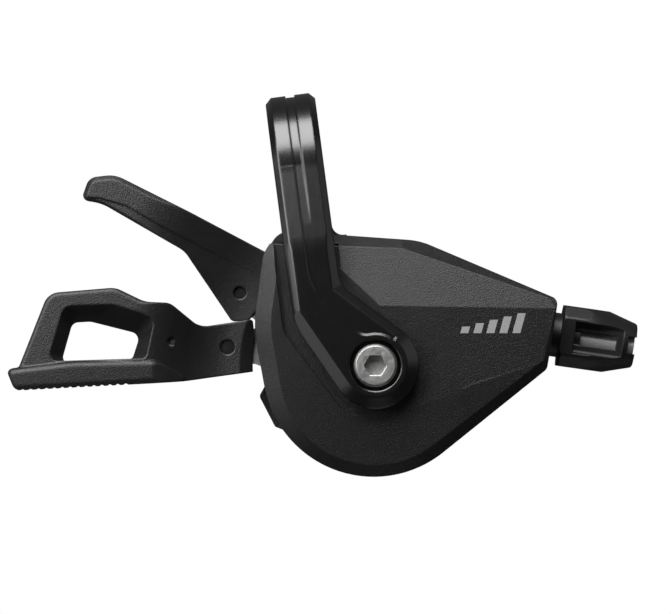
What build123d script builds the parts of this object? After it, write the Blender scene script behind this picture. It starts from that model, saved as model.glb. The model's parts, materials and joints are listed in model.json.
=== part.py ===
from build123d import *
from math import atan, cos, degrees, radians, sin, tan
import os

# A trigger gear shifter that clamps to a handlebar. The origin is the centre of the bar,
# +X runs along the bar and +Z is up. The face of the case looks towards -Y.
# The case has axes of its own: u to the right and v up on the face, from the axle,
# and a depth that grows towards the viewer, from the middle of the cable drum.

# Bar and clamp band
bar_diameter = 22.2
band_thickness = 3.5
band_width = 10.1
band_bevel = 1.2
band_foot_drop = 12.0
groove_half_width = 0.9
groove_depth = 0.4
groove_fade = 0.75
strap_bend_drop = 16.0
strap_bend_round = 18.0
strap_thickness = 4.4
strap_gap = 0.5
strap_step = 0.5
lip_fall = 34
boss_radius = 8.7
lip_radius = 6.3
lip_inset = 1.5
boss_recess_radius = 5.1
boss_recess_depth = 3.2
band_screw_height = -9.2
band_screw_length = 6.0
strap_left_angle = 207
strap_right_angle = 46
strap_left_bend = 14
strap_right_bend = 5

# Axle, and where it lies from the bar
axle_side = 10.0
axle_drop = 41.7
case_set_back = 2.5
case_tilt = 7.5
axle_radius = 4.0
axle_head_radius = 6.5
axle_head_height = 1.2
bolt_radius = 2.5
bolt_head_radius = 4.35
bolt_head_height = 3.0
bolt_head_bevel = 0.5
bolt_socket = 4.0
bolt_socket_depth = 2.0
bolt_length = 14.0

# Case
case_radius = 22.3
case_left_angle = 190
case_right_angle = 308.7
case_wall = 1.8
case_back = -10.4
parting_depth = 3.0
rim_hinge = (5.0, -9.5)
rim_heading = 19.4
rim_rise = 3.0
shoulder_width = 3.2
shoulder_height = 1.9
facet_fall = 13
edge_fall = 50
edge_drop = 2.7
edge_end_drop = 0.8
end_shift = 2.2

# Mechanism stack, as depths and thicknesses
plate_thickness = 1.5
drum_radius = 13.0
groove_radius = 11.2
groove_round = 1.0
groove_flare = 1.0
drum_half_width = 4.0
drum_hub_radius = 6.5
ratchet_radius = 12.5
ratchet_thickness = 1.6
tooth_depth = 1.2
tooth_root = 0.5
tooth_fill = 0.8
tooth_count = 20
release_plate_thickness = 1.2
main_plate_thickness = 1.6
hub_radius = 9.5
bush_wall = 2.0
clip_radius = 6.0
clip_thickness = 0.8
pin_radius = 1.2
pawl_pivot_radius = 17.0
pawl_head_radius = 2.4
feed_pawl_angle = 50
holding_pawl_angle = -100
spring_wire = 0.8
spring_inner_radius = 7.2
drum_spring_radius = 5.0

# Levers
main_sweep = 30
release_sweep = 9
lever_reach = 73.2
lever_root_radius = 24.6
crank_radius = 32.0
crank_run = 12.2
crank_round = 12.0
main_ramp_lead = 2.2
ramp_spare = 0.1
slot_reach = 6.0
bar_clearance = 0.4
blade_thickness = 3.0
blade_crease = 0.35
blade_run = 20.0
blade_bend = 30.0
blade_back_lead = 2.0
blade_back_run = 16.0
paddle_thickness = 5.6
main_root_skin = 0.3
release_root_skin = 0.4
main_root_face = 14.0
main_root_end = 12.5
main_end_run = 3.0
release_root_depth = 5.0
pad_rise = 2.6
pad_round = 1.2
pad_fall = 5
pad_crest = -1.0
pad_lip = 0.9
lever_round = 0.8
release_bevel = 0.9
rivet_radius = 1.45
rivet_sink = 0.3
dimple_radius = 0.9
dimple_depth = 3.6
serration_pitch = 1.57
serration_depth = 0.33
serration_count = 14
serration_start = 3.2
serration_side = -5.3
serration_rise = 0.085

# Cable adjuster
adjuster_place = (36.8, 6.0)
adjuster_angle = -8.1
collar_radius = 4.5
collar_reach = 6.0
knob_radius = 7.2
knob_tip_radius = 4.4
knob_length = 15.4
knob_gap = 0.8
knob_socket_depth = 4.0
tube_radius = 2.9
housing_bore_radius = 2.1
liner_bore_radius = 0.8
tube_length = 18.4
housing_bore_depth = 10.0
window_count = 4
window_length = 10.0
window_width = 6.4
window_floor = 4.4
slit_length = 7.4
slit_width = 2.8
notch_length = 1.7
notch_width = 3.4
knob_side = 12.4
knob_corner = 2.4
knob_straight = 6.2
knob_edge_round = 0.7
knob_bend = 14.0

# Screws
screw_radius = 1.25
screw_head_radius = 2.1
screw_head_height = 1.4
screw_boss_radius = 2.7
screw_tip_depth = 9.0

# Cap of the cable hole in the back
plug_place = (22, 4)
plug_radius = 3.2
plug_head_radius = 4.2
plug_head_height = 0.8

# Clearances
running = 0.05
washer = 0.2
loose = 0.3

bar_radius = bar_diameter / 2
band_radius = bar_radius + band_thickness

# The mechanism's stack along the axle, from the drum to the face of the case
index_depth = drum_half_width + 2 * washer
wind_depth = index_depth + ratchet_thickness + washer
hub_top = wind_depth + ratchet_thickness
release_plate_depth = hub_top + loose
release_spring_depth = release_plate_depth + release_plate_thickness + washer
main_plate_depth = release_spring_depth + spring_wire + washer / 2
main_spring_depth = main_plate_depth + main_plate_thickness + washer
cover_ceiling = main_spring_depth + spring_wire + washer
face_depth = cover_ceiling + case_wall
strap_depth = face_depth + strap_gap
strap_face = strap_depth + strap_thickness
drum_spring_width = 3 * spring_wire
base_top = -drum_half_width - loose - drum_spring_width - loose
base_bottom = base_top - plate_thickness
case_front = face_depth + 2 * case_wall

# The levers' depths: both clear the bar, and the thumb lever passes before the release lever
main_root_depth = main_plate_depth - main_root_skin
release_root_face = release_plate_depth + release_plate_thickness + release_root_skin
release_back = bar_radius + bar_clearance + case_set_back
release_face = release_back + blade_thickness
main_back = release_face + bar_clearance
main_face = main_back + paddle_thickness

tilt = radians(case_tilt)
case_plane = Plane(
    origin=(axle_side, case_set_back, -axle_drop),
    x_dir=(cos(tilt), 0, -sin(tilt)),
    z_dir=(0, -1, 0),
)
bar_plane = Plane(origin=(0, 0, 0), x_dir=(1, 0, 0), z_dir=(0, -1, 0))
axle_axis = Axis(case_plane.origin, case_plane.z_dir)


def at(depth):
    """The case's face plane, moved to a depth."""
    return case_plane.offset(depth)


def polar(radius, angle):
    """A point on the face at a radius and an angle round the axle."""
    return (radius * cos(radians(angle)), radius * sin(radians(angle)))


def in_frame(u, v, depth):
    """A point of the case in the object's own frame."""
    return case_plane.from_local_coords(Vector(u, v, depth))


def side_plane(angle):
    """A plane through the axle: x runs outwards at an angle, y runs along the axle."""
    out = case_plane.from_local_coords(Vector(*polar(1, angle), 0)) - case_plane.origin
    return Plane(origin=case_plane.origin, x_dir=out, z_dir=out.cross(case_plane.z_dir))


def falling_cutter(start, end, fall, reach=70, height=25):
    """A wedge above a slope that starts at a line and falls away on the line's left."""
    first = in_frame(*start)
    along = (in_frame(*end) - first).normalized()
    out = case_plane.z_dir.cross(along).normalized()
    with BuildPart() as cutter:
        with BuildSketch(Plane(origin=first, x_dir=out, z_dir=along)):
            with BuildLine():
                Polyline(
                    (0, 0),
                    (reach, -reach * tan(radians(fall))),
                    (reach, height),
                    (0, height),
                    close=True,
                )
            make_face()
        extrude(amount=reach, both=True)
    return cutter.part


def outline(points):
    """A closed face from corner points, each with its corner radius."""
    corners = [(u, v) for u, v, _ in points]
    rounds = [radius for _, _, radius in points]
    with BuildSketch() as face:
        with BuildLine():
            FilletPolyline(*corners, radius=rounds, close=True)
        make_face()
    return face.sketch


case_half_turn = (case_right_angle - case_left_angle) / 2
case_low_corner = polar(
    case_radius / cos(radians(case_half_turn)), case_left_angle + case_half_turn
)


def case_shape(shift):
    """The case's outline from the front, with its right end moved outwards."""
    return outline(
        [
            (*case_low_corner, case_radius),
            (34.4 + shift, -0.8, 1.6),
            (36.6 + shift, 13.2, 1.6),
            (9.0, 25.0, 14),
            (-19.3, 27.0, 3.5),
            (-22.4, 22.4, 6),
            (-24.4, 7.6, 25),
        ]
    )


case_outline = case_shape(0)
screw_places = [(24, 14), (14, -13), (-16.1, -10.1), (-4, 22)]

os.makedirs("parts", exist_ok=True)

adjuster_plane = Plane(
    origin=in_frame(*adjuster_place, 0),
    x_dir=case_plane.z_dir,
    z_dir=in_frame(*polar(1, adjuster_angle), 0) - case_plane.origin,
)

# The space that the two levers' roots sweep through the side of the case
slot_first_angle = 191
slot_margin = 3
main_root_angle = 161
release_root_angle = 133
slot_last_angle = min(main_root_angle - main_sweep, release_root_angle - release_sweep) - slot_margin
with BuildPart() as lever_slot:
    with BuildSketch(side_plane(slot_last_angle)):
        with BuildLine():
            Polyline(
                (case_radius - 2 * case_wall, release_root_depth - loose),
                (crank_radius + slot_reach, release_root_depth - loose),
                (crank_radius + slot_reach, main_root_face + loose),
                (lever_root_radius - loose, main_root_face + loose),
                (lever_root_radius - loose, cover_ceiling),
                (case_radius - 2 * case_wall, cover_ceiling),
                close=True,
            )
        make_face()
    revolve(axis=axle_axis, revolution_arc=slot_first_angle - slot_last_angle)


def facet_cutter(depth):
    """What lies above the facet between the flat face and the top edge of the cover."""
    facet_foot = (0.9, 11.9)
    facet_end = (33.6, 11.4)
    with BuildPart() as cutter:
        add(falling_cutter((*facet_foot, depth), (*facet_end, depth), facet_fall))
        with BuildSketch(at(0)):
            with BuildLine():
                Polyline(facet_foot, (-7, 19.4), (-9, 40), (50, 40), (50, 11.2), facet_end, close=True)
            make_face()
        extrude(amount=2 * face_depth, mode=Mode.INTERSECT)
    return cutter.part


# What the cover may fill: below a rim plane that rises from its hinge line towards the levers,
# inside a bevelled shoulder that runs all round
shoulder_slope = degrees(atan(shoulder_width / shoulder_height))
shoulder_spare = 1.0
shoulder_full = shoulder_height + shoulder_spare / tan(radians(shoulder_slope))
rim_start = in_frame(*rim_hinge, face_depth)
rim_along = in_frame(*polar(1, rim_heading), 0) - case_plane.origin
rim_axis = Axis(rim_start, rim_along)
shoulder_outline = offset(case_shape(end_shift), amount=shoulder_spare, mode=Mode.PRIVATE)
shoulder_base = (at(face_depth - shoulder_full) * shoulder_outline).rotate(rim_axis, rim_rise)
with BuildPart() as cover_envelope:
    extrude(shoulder_base, amount=shoulder_full, taper=shoulder_slope)
    extrude(shoulder_base, amount=-2 * face_depth)

case_inside = offset(case_outline, amount=-case_wall, mode=Mode.PRIVATE)

# Front cover: a raised rim round a sunk flat face, with a facet that falls towards the bar
with BuildPart() as cover_hollow:
    with BuildSketch(at(parting_depth)):
        add(case_inside)
    extrude(amount=cover_ceiling - parting_depth)
    add(cover_envelope.part.moved(Location(case_plane.z_dir * -case_wall)), mode=Mode.INTERSECT)
    add(facet_cutter(cover_ceiling), mode=Mode.SUBTRACT)
    with BuildSketch(at(parting_depth)):
        with Locations(*screw_places):
            Circle(screw_boss_radius)
    extrude(amount=screw_tip_depth + case_wall - parting_depth, mode=Mode.SUBTRACT)

with BuildPart() as front_cover:
    with BuildSketch(at(parting_depth)):
        add(case_outline)
    extrude(amount=case_front - parting_depth)
    add(cover_envelope.part, mode=Mode.INTERSECT)
    with BuildSketch(at(face_depth)):
        with BuildLine():
            FilletPolyline(
                (-21, 34),
                (-20, 19.4),
                (-18.4, 6.6),
                (-5.6, -10.2),
                (10.4, -9.2),
                (19, -3.9),
                (42, 3.4),
                (42, 34),
                radius=[2, 20, 4, 5, 12, 2, 2, 2],
                close=True,
            )
        make_face()
    extrude(amount=case_front, mode=Mode.SUBTRACT)
    add(facet_cutter(face_depth), mode=Mode.SUBTRACT)
    edge_left = (-9, 23.9, face_depth - edge_drop)
    edge_bend = (5.5, 23.4, face_depth - edge_drop)
    edge_right = (29, 15.3, face_depth - edge_end_drop)
    add(falling_cutter(edge_left, edge_bend, edge_fall), mode=Mode.SUBTRACT)
    add(falling_cutter(edge_bend, edge_right, edge_fall), mode=Mode.SUBTRACT)
    add(cover_hollow.part, mode=Mode.SUBTRACT)
    add(lever_slot.part, mode=Mode.SUBTRACT)
    with BuildSketch(at(parting_depth)):
        with Locations(*screw_places):
            Circle(screw_radius + running)
    extrude(amount=screw_tip_depth + loose - parting_depth, mode=Mode.SUBTRACT)
    with BuildSketch(at(parting_depth)):
        Circle(axle_radius + running)
    extrude(amount=case_front, mode=Mode.SUBTRACT)
    with BuildSketch(adjuster_plane):
        Circle(collar_radius)
    extrude(amount=2 * collar_reach, both=True, mode=Mode.SUBTRACT)
front_cover.part.label = "front_cover"
export_step(front_cover.part, "parts/front_cover.step")

# Rear housing: the back half of the case, the saddle under the bar and the pad for the band's foot
saddle_width = band_width
saddle_base = -23.0
saddle_top = -6.0
saddle_front = 8.0
saddle_slope = 4.0
lug_depth = 4.0
gusset_width = 2.7
gusset_height = 2.5
gusset_foot = -14.8
with BuildPart() as rear_hollow:
    with BuildSketch(at(base_bottom)):
        add(case_inside)
    extrude(amount=parting_depth - base_bottom)
    with BuildSketch(at(base_bottom)):
        with Locations(*screw_places):
            Circle(screw_boss_radius)
    extrude(amount=parting_depth - base_bottom, mode=Mode.SUBTRACT)

with BuildPart() as rear_housing:
    with BuildSketch(at(case_back)):
        add(case_outline)
    extrude(amount=parting_depth - case_back)
    with BuildSketch(at(case_back)):
        add(outline([(-21, -2, 1), (-23.4, -6.4, 1), (-20.2, -12.6, 1), (-14, -15, 1)]))
    extrude(amount=lug_depth - case_back)
    with BuildSketch(Plane.YZ):
        with BuildLine():
            Polyline(
                (bar_radius, saddle_base),
                (bar_radius, saddle_top),
                (-saddle_front, saddle_top),
                (-saddle_front, saddle_base + saddle_slope),
                (case_set_back - parting_depth, saddle_base),
                close=True,
            )
        make_face()
    extrude(amount=saddle_width / 2, both=True)
    with BuildSketch(bar_plane.offset(parting_depth - case_set_back)):
        gusset_side = saddle_width / 2
        with BuildLine():
            FilletPolyline(
                (gusset_side, gusset_foot + gusset_height),
                (gusset_side, gusset_foot),
                (gusset_side + gusset_width, gusset_foot),
                radius=0.9 * gusset_height,
            )
            Polyline(
                (gusset_side + gusset_width, gusset_foot),
                (gusset_side + gusset_width, gusset_foot - gusset_height),
                (0, gusset_foot - gusset_height),
                (0, gusset_foot + gusset_height),
                (gusset_side, gusset_foot + gusset_height),
            )
        make_face()
    extrude(amount=-saddle_front)
    with BuildSketch(Plane.YZ):
        Circle(bar_radius)
    extrude(amount=saddle_width, both=True, mode=Mode.SUBTRACT)
    add(rear_hollow.part, mode=Mode.SUBTRACT)
    with BuildSketch(at(parting_depth)):
        add(case_outline)
    extrude(amount=case_front, mode=Mode.SUBTRACT)
    add(lever_slot.part, mode=Mode.SUBTRACT)
    with BuildSketch(at(case_back)):
        Circle(axle_radius + running)
        with Locations(*screw_places):
            Circle(screw_radius + running)
    extrude(amount=parting_depth - case_back, mode=Mode.SUBTRACT)
    with BuildSketch(at(case_back)):
        with Locations(*screw_places):
            Circle(screw_head_radius + running)
    extrude(amount=screw_head_height, mode=Mode.SUBTRACT)
    with BuildSketch(adjuster_plane):
        Circle(collar_radius)
    extrude(amount=2 * collar_reach, both=True, mode=Mode.SUBTRACT)
    with BuildSketch(Plane.XZ.offset(-band_radius)):
        with Locations((0, band_screw_height)):
            Circle(screw_radius + running)
    extrude(amount=band_screw_length + loose, mode=Mode.SUBTRACT)
    with BuildSketch(at(case_back)):
        with Locations(plug_place):
            Circle(plug_radius + running)
    extrude(amount=base_bottom - case_back, mode=Mode.SUBTRACT)
rear_housing.part.label = "rear_housing"
export_step(rear_housing.part, "parts/rear_housing.step")

# Clamp band: a ring over the bar, a foot behind the housing and a strap down to the bolt's boss
axle_point = (axle_side, -axle_drop)


def strap_corner(edge, radius, angle):
    """Where a line down the band meets the strap's side, which touches a circle round the axle."""
    touch_x = axle_point[0] + radius * cos(radians(angle))
    touch_z = axle_point[1] + radius * sin(radians(angle))
    return (edge, touch_z + (touch_x - edge) / tan(radians(angle)))


left_corner = strap_corner(-band_width / 2, boss_radius, strap_left_angle)
right_corner = strap_corner(band_width / 2, boss_radius, strap_right_angle)
left_touch = polar(boss_radius, strap_left_angle)
right_touch = polar(boss_radius, strap_right_angle)
with BuildSketch(bar_plane) as band_front:
    with BuildLine():
        Polyline(
            (-band_width / 2, 2 * band_radius),
            (band_width / 2, 2 * band_radius),
            right_corner,
            (axle_point[0] + right_touch[0], axle_point[1] + right_touch[1]),
            axle_point,
            (axle_point[0] + left_touch[0], axle_point[1] + left_touch[1]),
            left_corner,
            close=True,
        )
    make_face()
    with Locations(axle_point):
        Circle(boss_radius)
    fillet(band_front.vertices().sort_by_distance(right_corner)[0], strap_right_bend)
    fillet(band_front.vertices().sort_by_distance(left_corner)[0], strap_left_bend)


def faces_outwards(face):
    """True for a face across the band that looks away from the bar."""
    normal = face.normal_at()
    return abs(normal.X) < 0.01 and normal.dot(face.center()) > 0


def from_bar(x, z, depth):
    """A point of the band at a depth of the case, on the case's axes."""
    point = case_plane.to_local_coords(Vector(x, 0, z))
    return (point.X, point.Y, depth)


strap_end = axle_drop + 2 * boss_radius


def band_profile(face):
    """The band's side view with its strap's front at a depth: a ring, a foot and the strap."""
    strap_front = case_set_back - face
    strap_back = case_set_back - strap_depth
    with BuildSketch(Plane.YZ) as profile:
        Circle(band_radius)
        with Locations((0, -band_radius)):
            Rectangle(2 * band_radius, 2 * band_radius, mode=Mode.SUBTRACT)
        with BuildLine():
            Polyline(
                (-bar_radius, 0),
                (-band_radius, 0),
                (strap_front, -strap_bend_drop),
                (strap_front, -strap_end),
                (strap_back, -strap_end),
                (strap_back, -strap_bend_drop),
                close=True,
            )
        make_face()
        fillet(profile.vertices().sort_by_distance((-band_radius, 0))[0], strap_bend_round)
        fillet(profile.vertices().sort_by_distance((strap_front, -strap_bend_drop))[0], strap_bend_round)
        with Locations((bar_radius + band_thickness / 2, -band_foot_drop / 2)):
            Rectangle(band_thickness, band_foot_drop)
        Circle(bar_radius, mode=Mode.SUBTRACT)
    return profile.sketch


# The strap's middle stands a step higher than its right side. A crease divides them, which bends
# from the groove over the ring to the lip round the bolt
strap_low_face = strap_face - strap_step
crease_corner = (-groove_half_width, -24.3)
crease_end = (8.6, -36.3)
crease_bend = 9
crease_foot_bend = 3
boss_sector_start = strap_left_angle + case_tilt
boss_sector = strap_right_angle + 360 - strap_left_angle
with BuildSketch(bar_plane) as strap_middle:
    add(band_front.sketch_local)
    with BuildLine():
        Polyline(
            (-groove_half_width, 0),
            crease_corner,
            crease_end,
            axle_point,
            (axle_point[0] + right_touch[0], axle_point[1] + right_touch[1]),
            (axle_point[0] + strap_end, axle_point[1] + right_touch[1]),
            (axle_point[0] + strap_end, 2 * strap_end),
            (-strap_end, 2 * strap_end),
            (-strap_end, 0),
            close=True,
        )
    make_face(mode=Mode.SUBTRACT)
    with Locations(axle_point):
        Circle(lip_radius)
    fillet(strap_middle.vertices().sort_by_distance(crease_end)[0], crease_foot_bend)
    fillet(strap_middle.vertices().sort_by_distance(crease_corner)[0], crease_bend)

with BuildPart() as strap_rise:
    extrude(band_profile(strap_face), amount=2 * axle_side + 2 * boss_radius, both=True)
    extrude(strap_middle.sketch, amount=3 * band_radius, both=True, mode=Mode.INTERSECT)
    left_edges = strap_rise.faces().filter_by(faces_outwards).edges().group_by(Axis.X)[0]
    chamfer(left_edges, band_bevel)

# The bevel from the lip down to the strap's sides and round the boss
lip_edge = -band_width / 2 + lip_inset
lip_corner = strap_corner(lip_edge, lip_radius, strap_left_angle)
lip_touch = polar(lip_radius, strap_left_angle)
low_lip_radius = lip_radius + strap_step / tan(radians(lip_fall))
low_lip_touch = polar(low_lip_radius, strap_right_angle)
low_lip_edge = band_width / 2 - (boss_radius - low_lip_radius)
low_lip_corner = strap_corner(low_lip_edge, low_lip_radius, strap_right_angle)
with BuildPart() as boss_bevel:
    with BuildSketch(side_plane(boss_sector_start)):
        with BuildLine():
            Polyline(
                (lip_radius, strap_face),
                (2 * lip_radius, strap_face - lip_radius * tan(radians(lip_fall))),
                (2 * lip_radius, 2 * strap_face),
                (lip_radius, 2 * strap_face),
                close=True,
            )
        make_face()
    revolve(axis=axle_axis, revolution_arc=boss_sector)
with BuildPart() as left_bevel:
    lip_top = from_bar(lip_edge, 0, strap_face)
    lip_turn = from_bar(*lip_corner, strap_face)
    lip_foot = from_bar(axle_point[0] + lip_touch[0], axle_point[1] + lip_touch[1], strap_face)
    add(falling_cutter(lip_turn, lip_top, lip_fall))
    add(falling_cutter(lip_foot, lip_turn, lip_fall))
with BuildPart() as right_bevel:
    low_top = from_bar(low_lip_edge, 0, strap_low_face)
    low_turn = from_bar(*low_lip_corner, strap_low_face)
    low_foot = from_bar(
        axle_point[0] + low_lip_touch[0], axle_point[1] + low_lip_touch[1], strap_low_face
    )
    add(falling_cutter(low_top, low_turn, lip_fall))
    add(falling_cutter(low_turn, low_foot, lip_fall), mode=Mode.INTERSECT)

# The groove over the ring, which fades out down the strap
groove_end = groove_fade * strap_bend_drop
groove_end_depth = band_radius + groove_fade * (strap_low_face - case_set_back - band_radius)
with BuildSketch(Plane.YZ) as groove_section:
    Circle(2 * band_radius)
    Circle(band_radius - groove_depth, mode=Mode.SUBTRACT)
    with Locations((0, -2 * band_radius)):
        Rectangle(4 * band_radius, 4 * band_radius, mode=Mode.SUBTRACT)
    with BuildLine():
        Polyline(
            (groove_depth - band_radius, 0),
            (-groove_end_depth, -groove_end),
            (-2 * band_radius, -groove_end),
            (-2 * band_radius, 0),
            close=True,
        )
    make_face()

with BuildPart() as clamp_band:
    extrude(band_profile(strap_low_face), amount=2 * axle_side + 2 * boss_radius, both=True)
    extrude(band_front.sketch, amount=3 * band_radius, both=True, mode=Mode.INTERSECT)
    outer_faces = clamp_band.faces().filter_by(faces_outwards)
    chamfer(outer_faces.edges().filter_by(Axis.X, reverse=True), band_bevel)
    extrude(groove_section.sketch, amount=groove_half_width, both=True, mode=Mode.SUBTRACT)
    add(strap_rise.part)
    add(boss_bevel.part, mode=Mode.SUBTRACT)
    add(left_bevel.part, mode=Mode.SUBTRACT)
    add(right_bevel.part, mode=Mode.SUBTRACT)
    with BuildSketch(at(strap_face)):
        Circle(boss_recess_radius)
    extrude(amount=-boss_recess_depth, mode=Mode.SUBTRACT)
    with BuildSketch(at(strap_depth)):
        Circle(bolt_radius + running)
    extrude(amount=strap_face, mode=Mode.SUBTRACT)
    with BuildSketch(Plane.XZ.offset(-band_radius)):
        with Locations((0, band_screw_height)):
            Circle(screw_radius + running)
    extrude(amount=band_thickness, mode=Mode.SUBTRACT)
clamp_band.part.label = "clamp_band"
export_step(clamp_band.part, "parts/clamp_band.step")

# Clamp bolt: a socket head in the boss and a shank in the axle
bolt_seat = strap_face - boss_recess_depth
with BuildPart() as clamp_bolt:
    with BuildSketch(at(bolt_seat)):
        Circle(bolt_head_radius)
    extrude(amount=bolt_head_height)
    chamfer(clamp_bolt.faces().sort_by(axle_axis)[-1].edges(), bolt_head_bevel)
    with BuildSketch(at(bolt_seat)):
        Circle(bolt_radius)
    extrude(amount=-bolt_length)
    with BuildSketch(at(bolt_seat + bolt_head_height)):
        RegularPolygon(bolt_socket / 2, 6, major_radius=False)
    extrude(amount=-bolt_socket_depth, mode=Mode.SUBTRACT)
clamp_bolt.part.label = "clamp_bolt"
export_step(clamp_bolt.part, "parts/clamp_bolt.step")

# Axle: a shaft with a head behind the housing, and the ring in its groove
clip_depth = main_plate_depth + main_plate_thickness + 3 * running
clip_groove = 0.6
with BuildPart() as main_axle:
    with BuildSketch(at(case_back)):
        Circle(axle_head_radius)
    extrude(amount=-axle_head_height)
    with BuildSketch(at(case_back)):
        Circle(axle_radius)
    extrude(amount=strap_depth - case_back)
    with BuildSketch(at(clip_depth)):
        Circle(axle_radius)
        Circle(axle_radius - clip_groove, mode=Mode.SUBTRACT)
    extrude(amount=clip_thickness, mode=Mode.SUBTRACT)
    with BuildSketch(at(strap_depth)):
        Circle(bolt_radius + running)
    extrude(amount=bolt_seat - strap_depth - bolt_length - loose, mode=Mode.SUBTRACT)
main_axle.part.label = "main_axle"
export_step(main_axle.part, "parts/main_axle.step")

with BuildPart() as axle_circlip:
    with BuildSketch(at(clip_depth)):
        Circle(clip_radius)
        Circle(axle_radius - clip_groove, mode=Mode.SUBTRACT)
        with Locations((clip_radius, 0)):
            Rectangle(2 * clip_radius, clip_radius, mode=Mode.SUBTRACT)
    extrude(amount=clip_thickness)
axle_circlip.part.label = "axle_circlip"
export_step(axle_circlip.part, "parts/axle_circlip.step")

# Base plate behind the mechanism
with BuildPart() as base_plate:
    with BuildSketch(at(base_bottom)):
        Circle(case_radius - case_wall - loose)
        add(offset(case_outline, amount=-case_wall - loose, mode=Mode.PRIVATE), mode=Mode.INTERSECT)
        Circle(axle_radius + running, mode=Mode.SUBTRACT)
        with Locations(*screw_places):
            Circle(screw_boss_radius + loose, mode=Mode.SUBTRACT)
        with Locations(polar(pawl_pivot_radius, holding_pawl_angle)):
            Circle(pin_radius, mode=Mode.SUBTRACT)
    extrude(amount=plate_thickness)
base_plate.part.label = "base_plate"
export_step(base_plate.part, "parts/base_plate.step")

# Cable drum: a grooved wheel with a six-sided hub that drives both ratchets
with BuildPart() as cable_drum:
    with BuildSketch(at(-drum_half_width)):
        Circle(drum_radius)
    extrude(amount=2 * drum_half_width)
    with BuildSketch(side_plane(0)):
        with BuildLine():
            Polyline(
                (groove_radius, -groove_round),
                (drum_radius, -groove_round - groove_flare),
                (drum_radius, groove_round + groove_flare),
                (groove_radius, groove_round),
                close=True,
            )
        make_face()
    revolve(axis=axle_axis, mode=Mode.SUBTRACT)
    with BuildSketch(at(drum_half_width)):
        RegularPolygon(drum_hub_radius, 6)
    extrude(amount=hub_top - drum_half_width)
    with BuildSketch(at(-drum_half_width)):
        Circle(axle_radius + running)
    extrude(amount=hub_top + drum_half_width, mode=Mode.SUBTRACT)
cable_drum.part.label = "cable_drum"
export_step(cable_drum.part, "parts/cable_drum.step")


def ratchet(name, depth):
    """A toothed wheel on the drum's hub."""
    step = 360 / tooth_count
    with BuildPart() as wheel:
        with BuildSketch(at(depth)):
            Circle(ratchet_radius - tooth_depth)
            for tooth in range(tooth_count):
                start = tooth * step
                with BuildLine():
                    Polyline(
                        polar(ratchet_radius - tooth_depth - tooth_root, start),
                        polar(ratchet_radius, start),
                        polar(ratchet_radius - tooth_depth, start + tooth_fill * step),
                        close=True,
                    )
                make_face()
            RegularPolygon(drum_hub_radius, 6, mode=Mode.SUBTRACT)
        extrude(amount=ratchet_thickness)
    wheel.part.label = name
    export_step(wheel.part, f"parts/{name}.step")


ratchet("index_ratchet", index_depth)
ratchet("wind_ratchet", wind_depth)


def ring(name, inner, outer, depth, thickness):
    """A plain sleeve round the axle."""
    with BuildPart() as sleeve:
        with BuildSketch(at(depth)):
            Circle(outer)
            Circle(inner, mode=Mode.SUBTRACT)
        extrude(amount=thickness)
    sleeve.part.label = name
    export_step(sleeve.part, f"parts/{name}.step")


bush_inner = axle_radius + running
bush_outer = axle_radius + bush_wall
ring("main_lever_bush", bush_inner, bush_outer, main_plate_depth, main_plate_thickness)
ring("release_lever_bush", bush_inner, bush_outer, release_plate_depth, release_plate_thickness)


def spiral_spring(name, inner, turns, depth, thickness):
    """A flat spring wound as half circles about two centres."""
    pitch = 2 * spring_wire
    with BuildPart() as spring:
        with BuildSketch(at(depth)):
            with BuildLine():
                for turn in range(turns):
                    radius = inner + turn * pitch
                    CenterArc((0, 0), radius, 0, 180)
                    CenterArc((pitch / 2, 0), radius + pitch / 2, 180, 180)
            trace(line_width=spring_wire)
        extrude(amount=thickness)
    spring.part.label = name
    export_step(spring.part, f"parts/{name}.step")


spiral_spring("release_return_spring", spring_inner_radius, 1, release_spring_depth, spring_wire)
spiral_spring("main_return_spring", spring_inner_radius, 1, main_spring_depth, spring_wire)
spiral_spring("drum_spring", drum_spring_radius, 4, base_top + loose, drum_spring_width)


def pawl(name, angle, depth, pin_name, pin_start, pin_end):
    """A pawl that points along the ratchet from its pivot, and the pin through it."""
    pivot = polar(pawl_pivot_radius, angle)
    tip_round = 0.5
    tip_lead = 24
    tip = polar(ratchet_radius + loose + tip_round, angle + tip_lead)
    with BuildPart() as lever:
        with BuildSketch(at(depth)):
            with Locations(pivot):
                Circle(pawl_head_radius)
            with Locations(tip):
                Circle(tip_round)
            make_hull()
            with Locations(pivot):
                Circle(pin_radius + running, mode=Mode.SUBTRACT)
        extrude(amount=ratchet_thickness)
    lever.part.label = name
    export_step(lever.part, f"parts/{name}.step")
    with BuildPart() as pin:
        with BuildSketch(at(pin_start)):
            with Locations(pivot):
                Circle(pin_radius)
        extrude(amount=pin_end - pin_start)
    pin.part.label = pin_name
    export_step(pin.part, f"parts/{pin_name}.step")


pawl(
    "feed_pawl",
    feed_pawl_angle,
    wind_depth,
    "feed_pawl_pin",
    wind_depth,
    main_plate_depth + main_plate_thickness,
)
pawl(
    "holding_pawl",
    holding_pawl_angle,
    index_depth,
    "holding_pawl_pin",
    base_bottom,
    index_depth + ratchet_thickness,
)

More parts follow.
